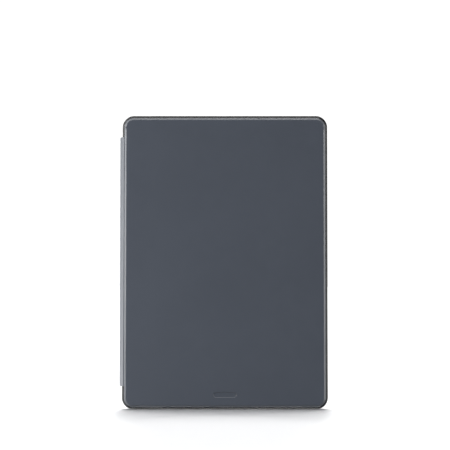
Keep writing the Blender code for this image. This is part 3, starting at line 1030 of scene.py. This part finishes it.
# The tray's front face has a fine groove round it
tray_lo, tray_hi = depth_box("tray_lining")
TRAY_D, TRAY_BACK_D = tray_lo[1], tray_hi[1]
TRAY = (tray_hi[0] - tray_lo[0], tray_hi[2] - tray_lo[2], CAVITY_R - 1.6)
rings = [
    sized(TRAY, -6.6, -3.3, TRAY_D),
    sized(TRAY, -5.8, -2.9, TRAY_D + 0.12, 0.2),
    sized(TRAY, -5.0, -2.5, TRAY_D),
    sized(TRAY, -0.4, -0.2, TRAY_D),
    sized(TRAY, -0.1, -0.05, TRAY_D + 0.06, 0.3),
    sized(TRAY, 0, 0, TRAY_D + 0.18, 0.3),
    sized(TRAY, 0, 0, TRAY_BACK_D),
]
tray = ring_loft(rings).build("tray_felt", [TRAY_FELT], 50)
hole_profile = [(HOLE_R + 1.0, TRAY_D - 1, 0), (HOLE_R + 1.0, TRAY_BACK_D + 1, 0)]
cut(tray, [turned(hole_profile).build("hole2", [SOFT])])
fit(tray, "shell", "tray_lining")


# ----------------------------------------------------------------------------------------------
# Floor and world, in metres from here on
# ----------------------------------------------------------------------------------------------
FLOOR_BOUNCE = 0.10  # the floor's grey, as the case's light sees it
AMBIENT = 0.335
MIRROR_LEFT, MIRROR_RIGHT = 0.8, 0.02  # the world's strength in reflections
scene.view_settings.view_transform = "Standard"
scene.view_settings.look = "None"
scene.view_settings.exposure = 0.0
scene.view_settings.gamma = 1.0

floor_data = bpy.data.meshes.new("floor")
floor_data.from_pydata([(-9, -9, 0), (9, -9, 0), (9, 9, 0), (-9, 9, 0)], [], [(0, 1, 2, 3)])
floor = add_object("floor", floor_data)
floor.location = (0, 0, -0.00002)
pale = bpy.data.materials.new("pale_floor")
pale.use_nodes = True
tree = pale.node_tree
shader = tree.nodes["Principled BSDF"]
plug(shader.inputs["Base Color"], (0.86, 0.86, 0.865, 1))
plug(shader.inputs["Roughness"], 0.8)
plug(shader.inputs["Specular IOR Level"], 0.1)
grey = add_node(tree, "ShaderNodeBsdfDiffuse", {"Color": (*([FLOOR_BOUNCE] * 3), 1)})
rays = add_node(tree, "ShaderNodeLightPath")
inputs = {0: rays.outputs["Is Camera Ray"], 1: grey.outputs[0], 2: shader.outputs[0]}
mixed = add_node(tree, "ShaderNodeMixShader", inputs)
plug(tree.nodes["Material Output"].inputs["Surface"], mixed.outputs[0])
floor_data.materials.append(pale)
floor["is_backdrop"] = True

# The world is white to the camera, dim as light, and brighter on the left in reflections
world = bpy.data.worlds.new("studio")
scene.world = world
world.use_nodes = True
tree = world.node_tree
tree.nodes.clear()
seen = add_node(tree, "ShaderNodeBackground", {"Color": (1, 1, 1, 1), "Strength": 1.1})
inputs = {"Color": (0.96, 0.98, 1.0, 1), "Strength": AMBIENT}
lit = add_node(tree, "ShaderNodeBackground", inputs)
direction = add_node(tree, "ShaderNodeTexCoord").outputs["Generated"]
split = add_node(tree, "ShaderNodeSeparateXYZ", {0: direction})
inputs = {
    "From Min": -0.75,
    "From Max": 0.1,
    "To Min": MIRROR_LEFT,
    "To Max": MIRROR_RIGHT,
    "Value": split.outputs["X"],
}
fade = add_node(tree, "ShaderNodeMapRange", inputs, interpolation_type="SMOOTHSTEP")
mirrored = add_node(tree, "ShaderNodeBackground", {"Strength": fade.outputs["Result"]})
rays = add_node(tree, "ShaderNodeLightPath").outputs
inputs = {0: rays["Is Glossy Ray"], 1: lit.outputs[0], 2: mirrored.outputs[0]}
unseen = add_node(tree, "ShaderNodeMixShader", inputs)
inputs = {0: rays["Is Camera Ray"], 1: unseen.outputs[0], 2: seen.outputs[0]}
mixed = add_node(tree, "ShaderNodeMixShader", inputs)
add_node(tree, "ShaderNodeOutputWorld", {"Surface": mixed.outputs[0]})


# ----------------------------------------------------------------------------------------------
# Lights
# ----------------------------------------------------------------------------------------------
def point_along(ob, direction):
    ob.rotation_mode = "QUATERNION"
    ob.rotation_quaternion = direction.to_track_quat("-Z", "Y")


def group(name, members):
    collection = bpy.data.collections.new(name)
    for member in members:
        collection.objects.link(member)
    return collection


only_floor = group("only_floor", [floor])
# A wide, soft overhead light for the floor, as a set of small ones. Each leans back and to both
# sides by this much per unit of height, with this power. The low ones only fill in the shadow's
# two ends.
OVERHEAD = (
    (0.02, 0.28, 0.38),
    (0.10, 0.09, 0.21),
    (0.15, 0.10, 0.15),
    (0.20, 0.12, 0.21),
    (0.28, 0.12, 0.14),
    (0.36, 0.00, 0.22),
    (0.50, 0.98, 0.33),
    (1.30, 0.00, 2.25),
)
for lean, side, power in OVERHEAD:
    for sideways in (side, -side) if side else (0.0,):
        light = bpy.data.lights.new("overhead", "SUN")
        light.energy = power
        light.angle = math.radians(5.0 + 12.0 * lean)
        sun = add_object("overhead", light)
        point_along(sun, -Vector((sideways, lean, 1.0)))
        sun.light_linking.receiver_collection = only_floor

only_case = group("only_case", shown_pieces())
only_edges = group("only_edges", (bumper, cover))
middle = Vector((MID_X * MM, 0.0, MID_Z * MM))
low_left = Vector((MID_X * MM - 0.05, 0.0, 0.06))
WHITE = (1, 1, 1)
# name, degrees to the right of the front, degrees up, distance from the case's middle,
# aim, width, height, power, colour, what it lights. The last one stands for light thrown up by
# the pale floor onto the lower edges.
SOFTBOXES = (
    ("left_box", -75, 0, 0.85, middle, 0.36, 1.0, 9.3, (1.0, 0.995, 0.98), only_case),
    ("right_box", 75, 0, 2.0, middle, 0.50, 1.6, 24.0, (1.0, 0.995, 0.985), only_case),
    ("top_box", -8, 85, 1.2, middle, 1.2, 0.35, 9.6, (1.0, 0.99, 0.975), only_case),
    ("left_low_box", -108, -27, 1.2, middle, 0.40, 0.8, 15.0, WHITE, only_case),
    ("left_high_box", -100, 45, 1.2, middle, 0.40, 0.6, 4.0, WHITE, only_case),
    ("low_front_box", -45, -35, 0.6, low_left, 0.4, 0.3, 0.8, WHITE, only_case),
    ("back_box", -165, 12, 1.6, middle, 1.3, 1.1, 18.0, WHITE, only_case),
    ("under_box", 0, -130, 1.2, middle, 1.2, 0.40, 58.0, WHITE, only_edges),
)
for name, turn, rise, distance, aim, width, height, power, colour, receivers in SOFTBOXES:
    light = bpy.data.lights.new(name, "AREA")
    light.shape = "RECTANGLE"
    light.size, light.size_y = width, height
    light.energy = power
    light.color = colour
    lamp = add_object(name, light)
    turn, rise = math.radians(turn), math.radians(rise)
    at = (
        middle.x + distance * math.sin(turn) * math.cos(rise),
        middle.y - distance * math.cos(turn) * math.cos(rise),
        middle.z + distance * math.sin(rise),
    )
    lamp.location = at
    point_along(lamp, aim - Vector(at))
    lamp.visible_camera = False
    lamp.light_linking.receiver_collection = receivers
    lamp.light_linking.blocker_collection = only_case


# ----------------------------------------------------------------------------------------------
# Camera
# ----------------------------------------------------------------------------------------------
VIEW_W = 0.389925  # width of the view at the cover's face
AIM_RIGHT, AIM_Z = 0.00008665, 0.1596093  # the view's centre, from the case's middle and foot
DISTANCE = 1.10
TAPER = 0.0085  # how much narrower the case's top looks than its foot
PITCH = math.atan(TAPER * DISTANCE / (TOP * MM))
SENSOR_MM = 36.0
camera_data = bpy.data.cameras.new("camera")
camera_data.sensor_width = SENSOR_MM
camera_data.lens = SENSOR_MM / (VIEW_W / DISTANCE)
camera_data.clip_start, camera_data.clip_end = 0.05, 30
camera = add_object("camera", camera_data)
aim = Vector((MID_X * MM + AIM_RIGHT, FACE_Y * MM, AIM_Z))
camera.location = aim + Vector((0.0, -DISTANCE * math.cos(PITCH), -DISTANCE * math.sin(PITCH)))
point_along(camera, aim - camera.location)
scene.camera = camera

bpy.context.view_layer.update()
